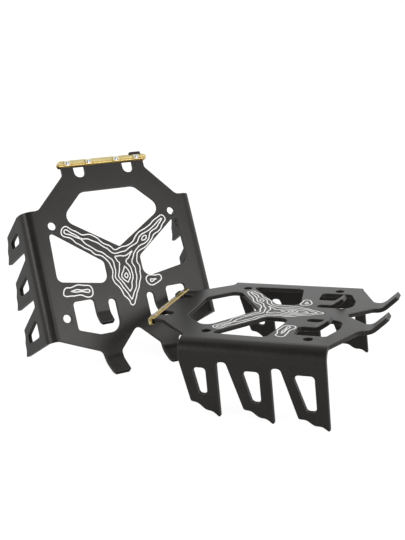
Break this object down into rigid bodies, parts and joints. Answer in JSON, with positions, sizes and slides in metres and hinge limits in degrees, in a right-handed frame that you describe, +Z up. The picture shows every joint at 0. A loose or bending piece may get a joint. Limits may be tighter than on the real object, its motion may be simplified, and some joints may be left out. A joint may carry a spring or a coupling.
{
  "type": "splitboard crampon pair",
  "caption": "Pair of splitboard crampons: bent toothed plates with windows and curled rear hooks, each with a riveted round-nosed pivot bar on its neck.",
  "frame": {"origin": "Middle of the footprint of the pair, on the floor that the teeth stand on.", "axes": "+Z is up. The standing crampon has its pivot bar towards -Y and its rear hooks towards +Y, with its teeth down; the leaning one stands beyond its bar, towards -Y, with its top face turned up and towards +X and +Y."},
  "size_m": [0.1786, 0.2842, 0.1417],
  "materials": {
    "plate": "black anodised, satin",
    "bar": "gold anodised, milled",
    "rivet": "bright"
  },
  "bodies": {
    "right": {"right_plate": "plate", "right_bar": "bar", "right_rivet_1": "rivet", "right_rivet_2": "rivet", "right_rivet_3": "rivet", "right_rivet_4": "rivet"},
    "left": {"left_plate": "plate", "left_bar": "bar", "left_rivet_1": "rivet", "left_rivet_2": "rivet", "left_rivet_3": "rivet", "left_rivet_4": "rivet"}
  },
  "joints": [
    {"name": "lift_left", "type": "slide", "parent": "right", "child": "left", "axis": [0, -0.7071, 0.7071], "range_m": [0, 0.15]}
  ]
}
